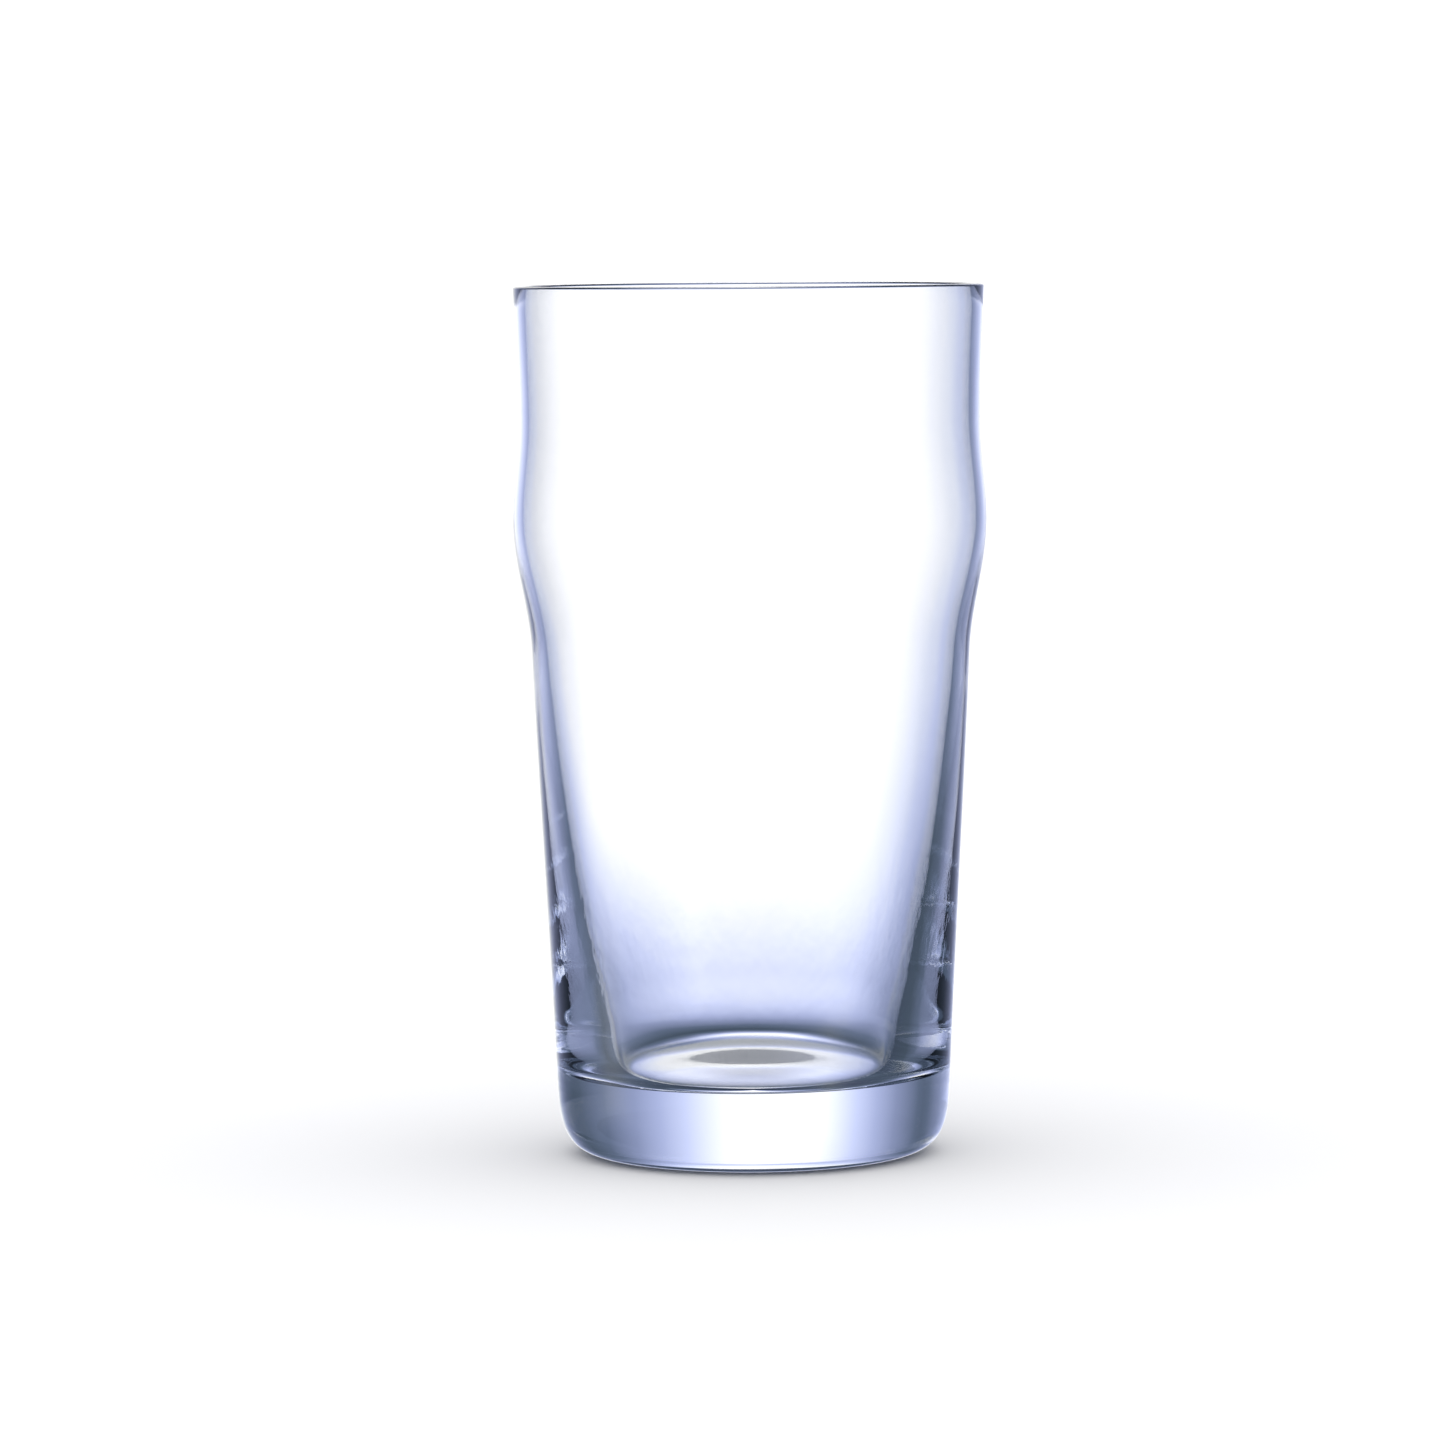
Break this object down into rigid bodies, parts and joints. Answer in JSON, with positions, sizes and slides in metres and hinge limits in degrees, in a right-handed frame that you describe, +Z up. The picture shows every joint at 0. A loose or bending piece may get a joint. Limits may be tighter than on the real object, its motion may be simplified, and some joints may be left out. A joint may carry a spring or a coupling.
{
  "type": "pint glass",
  "caption": "Tall clear drinking glass with a bulged ring below the rim, a tapered thick-walled body and a heavy solid base.",
  "frame": {"origin": "centre of the plane the glass stands on", "axes": "+Z up along the glass's axis, towards the rim; X and Y are equal because the glass is round"},
  "size_m": [0.0856, 0.0856, 0.1574],
  "materials": {
    "clear_glass": "clear polished soda-lime glass with a faint blue cast"
  },
  "bodies": {
    "root": {"glass_body": "clear_glass"}
  },
  "joints": []
}
